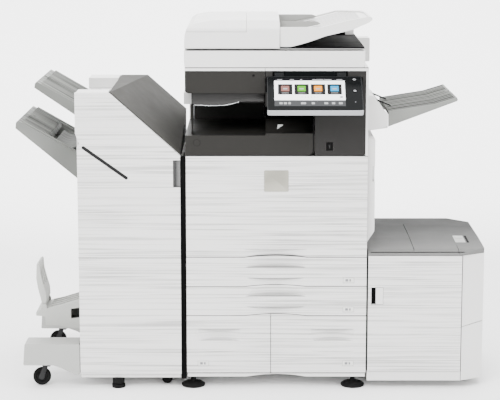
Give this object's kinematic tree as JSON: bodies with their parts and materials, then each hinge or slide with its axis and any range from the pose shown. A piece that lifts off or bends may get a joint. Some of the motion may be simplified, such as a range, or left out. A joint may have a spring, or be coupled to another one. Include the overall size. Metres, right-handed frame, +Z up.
{
  "type": "photocopier",
  "caption": "Floor-standing office photocopier with paper drawers, document feeder, tilting touch panel, saddle-stitch finisher and large-capacity paper cabinet.",
  "frame": {"origin": "on the floor under the middle of the whole machine's box", "axes": "+Z up, +X to the right seen from the front, -Y towards the user at the front"},
  "size_m": [1.546, 0.7378, 1.2279],
  "materials": {
    "white_panel": "fine ribbed texture",
    "white_shell": "fine satin",
    "charcoal": "fine texture",
    "dark_cover": "fine texture",
    "black_plastic": "matte",
    "black_gloss": "gloss",
    "silver": "satin paint",
    "grey_plastic": "satin",
    "tray_grey": "matte",
    "sheet_steel": "zinc plated",
    "glass": "clear",
    "rubber": "matte",
    "fork_plastic": "matte"
  },
  "bodies": {
    "machine": {"base_frame": "white_shell", "leveling_feet": "rubber", "inner_frame": "sheet_steel", "left_cover": "white_shell", "right_cover": "white_shell", "rear_cover": "white_shell", "exit_deck": "charcoal", "relay_unit": "black_plastic", "upper_cover": "charcoal", "control_cover": "charcoal", "top_frame": "white_shell", "scanner_tub": "white_shell", "platen_glass": "glass", "engine_cover": "grey_plastic", "toner_cartridge": "black_plastic", "fuser_unit": "sheet_steel", "right_exit_unit": "white_shell", "right_exit_tray": "tray_grey"},
    "front_door": {"front_door": "white_panel"},
    "drawer_1": {"drawer_1_front": "white_panel", "drawer_1_box": "grey_plastic"},
    "drawer_2": {"drawer_2_front": "white_panel", "drawer_2_box": "grey_plastic"},
    "drawer_3": {"drawer_3_front": "white_panel", "drawer_3_box": "grey_plastic"},
    "drawer_4": {"drawer_4_front": "white_panel", "drawer_4_box": "grey_plastic"},
    "scan_carriage": {"scan_carriage": "sheet_steel"},
    "mirror_carriage": {"mirror_carriage": "sheet_steel"},
    "document_feeder": {"adf_body": "white_shell", "adf_tray": "white_shell", "adf_rollers": "rubber"},
    "feeder_cover": {"adf_cover": "white_shell"},
    "guide_front": {"guide_front": "grey_plastic"},
    "guide_rear": {"guide_rear": "grey_plastic"},
    "panel": {"panel_case": "silver", "panel_screen": "black_gloss"},
    "key_upper": {"key_upper": "black_gloss"},
    "key_lower": {"key_lower": "black_gloss"},
    "right_door": {"right_door": "white_shell"},
    "bypass_tray": {"bypass_tray": "white_shell"},
    "exit_arms": {"exit_arms": "black_plastic"},
    "finisher": {"finisher_frame": "white_shell", "finisher_feet": "rubber", "upper_tray": "tray_grey", "saddle_tray": "tray_grey", "outrigger": "tray_grey", "stapler_unit": "sheet_steel"},
    "finisher_door": {"finisher_door": "white_panel"},
    "finisher_top_cover": {"finisher_top_cover": "dark_cover"},
    "lower_tray": {"lower_tray": "tray_grey"},
    "saddle_flap": {"saddle_flap": "tray_grey"},
    "caster_fork_front": {"caster_fork_front": "fork_plastic"},
    "caster_wheel_front": {"caster_wheel_front": "rubber"},
    "caster_fork_rear": {"caster_fork_rear": "fork_plastic"},
    "caster_wheel_rear": {"caster_wheel_rear": "rubber"},
    "paper_cabinet": {"lcc_cabinet": "white_shell", "lcc_top": "grey_plastic"},
    "cabinet_door": {"lcc_door": "white_panel"},
    "paper_table": {"lcc_table": "sheet_steel"}
  },
  "joints": [
    {"name": "drawer_1_slide", "type": "slide", "parent": "machine", "child": "drawer_1", "axis": [0, -1, 0], "range_m": [0, 0.42]},
    {"name": "drawer_2_slide", "type": "slide", "parent": "machine", "child": "drawer_2", "axis": [0, -1, 0], "range_m": [0, 0.42]},
    {"name": "drawer_3_slide", "type": "slide", "parent": "machine", "child": "drawer_3", "axis": [0, -1, 0], "range_m": [0, 0.42]},
    {"name": "drawer_4_slide", "type": "slide", "parent": "machine", "child": "drawer_4", "axis": [0, -1, 0], "range_m": [0, 0.42]},
    {"name": "front_door_hinge", "type": "hinge", "parent": "machine", "child": "front_door", "pos_m": [0.087, -0.22905, 0.453], "axis": [1, 0, 0], "range_deg": [0, 85]},
    {"name": "feeder_lift", "type": "hinge", "parent": "machine", "child": "document_feeder", "pos_m": [0.087, 0.35495, 1.126], "axis": [-1, 0, 0], "range_deg": [0, 60]},
    {"name": "feeder_cover_hinge", "type": "hinge", "parent": "document_feeder", "child": "feeder_cover", "pos_m": [-0.207, -0.23105, 1.181], "axis": [0, -1, 0], "range_deg": [0, 70]},
    {"name": "guide_front_slide", "type": "slide", "parent": "document_feeder", "child": "guide_front", "axis": [0, 1, 0], "range_m": [0, 0.09]},
    {"name": "guide_rear_slide", "type": "slide", "parent": "document_feeder", "child": "guide_rear", "axis": [0, 1, 0], "range_m": [-0.09, 0]},
    {"name": "scan_carriage_slide", "type": "slide", "parent": "machine", "child": "scan_carriage", "axis": [1, 0, 0], "range_m": [0, 0.38]},
    {"name": "mirror_carriage_slide", "type": "slide", "parent": "machine", "child": "mirror_carriage", "axis": [1, 0, 0], "range_m": [0, 0.19]},
    {"name": "panel_tilt", "type": "hinge", "parent": "machine", "child": "panel", "pos_m": [0.087, -0.22305, 1.044], "axis": [1, 0, 0], "range_deg": [-25, 22]},
    {"name": "key_upper_press", "type": "slide", "parent": "panel", "child": "key_upper", "axis": [0, 0.5821, -0.8131], "range_m": [0, 0.0012], "stiffness_N_per_m": 900},
    {"name": "key_lower_press", "type": "slide", "parent": "panel", "child": "key_lower", "axis": [0, 0.5821, -0.8131], "range_m": [0, 0.0012], "stiffness_N_per_m": 900},
    {"name": "right_door_hinge", "type": "hinge", "parent": "machine", "child": "right_door", "pos_m": [0.3905, 0.24695, 0.6], "axis": [0, 0, 1], "range_deg": [0, 60]},
    {"name": "bypass_tray_hinge", "type": "hinge", "parent": "right_door", "child": "bypass_tray", "pos_m": [0.4045, 0.02495, 0.562], "axis": [0, 1, 0], "range_deg": [0, 75]},
    {"name": "exit_arms_swing", "type": "hinge", "parent": "machine", "child": "exit_arms", "pos_m": [0.421, 0.07895, 0.938], "axis": [0, -1, 0], "range_deg": [0, 40]},
    {"name": "finisher_slide", "type": "slide", "parent": "machine", "child": "finisher", "axis": [-1, 0, 0], "range_m": [0, 0.18]},
    {"name": "finisher_door_hinge", "type": "hinge", "parent": "finisher", "child": "finisher_door", "pos_m": [-0.559, -0.22905, 0.5], "axis": [0, 0, -1], "range_deg": [0, 100]},
    {"name": "finisher_top_hinge", "type": "hinge", "parent": "finisher", "child": "finisher_top_cover", "pos_m": [-0.363, 0.35695, 0.982], "axis": [-1, 0, 0], "range_deg": [0, 60]},
    {"name": "lower_tray_lift", "type": "slide", "parent": "finisher", "child": "lower_tray", "axis": [0, 0, -1], "range_m": [0, 0.22]},
    {"name": "saddle_flap_hinge", "type": "hinge", "parent": "finisher", "child": "saddle_flap", "pos_m": [-0.696, -0.01305, 0.243], "axis": [0, 1, 0], "range_deg": [0, 38]},
    {"name": "caster_swivel_front", "type": "hinge", "parent": "finisher", "child": "caster_fork_front", "pos_m": [-0.677, -0.18505, 0.07], "axis": [0, 0, 1], "continuous": true},
    {"name": "caster_roll_front", "type": "hinge", "parent": "caster_fork_front", "child": "caster_wheel_front", "pos_m": [-0.694, -0.18505, 0.031], "axis": [0, 1, 0], "continuous": true},
    {"name": "caster_swivel_rear", "type": "hinge", "parent": "finisher", "child": "caster_fork_rear", "pos_m": [-0.677, 0.31495, 0.07], "axis": [0, 0, 1], "continuous": true},
    {"name": "caster_roll_rear", "type": "hinge", "parent": "caster_fork_rear", "child": "caster_wheel_rear", "pos_m": [-0.694, 0.31495, 0.031], "axis": [0, 1, 0], "continuous": true},
    {"name": "cabinet_slide", "type": "slide", "parent": "machine", "child": "paper_cabinet", "axis": [1, 0, 0], "range_m": [0, 0.18]},
    {"name": "cabinet_door_hinge", "type": "hinge", "parent": "paper_cabinet", "child": "cabinet_door", "pos_m": [0.6935, -0.22905, 0.08], "axis": [0, 0, 1], "range_deg": [0, 100]},
    {"name": "table_lift", "type": "slide", "parent": "paper_cabinet", "child": "paper_table", "axis": [0, 0, 1], "range_m": [0, 0.28]}
  ],
  "couplings": [
    {"joint": "guide_rear_slide", "follows": "guide_front_slide", "ratio": -1},
    {"joint": "mirror_carriage_slide", "follows": "scan_carriage_slide", "ratio": 0.5}
  ]
}
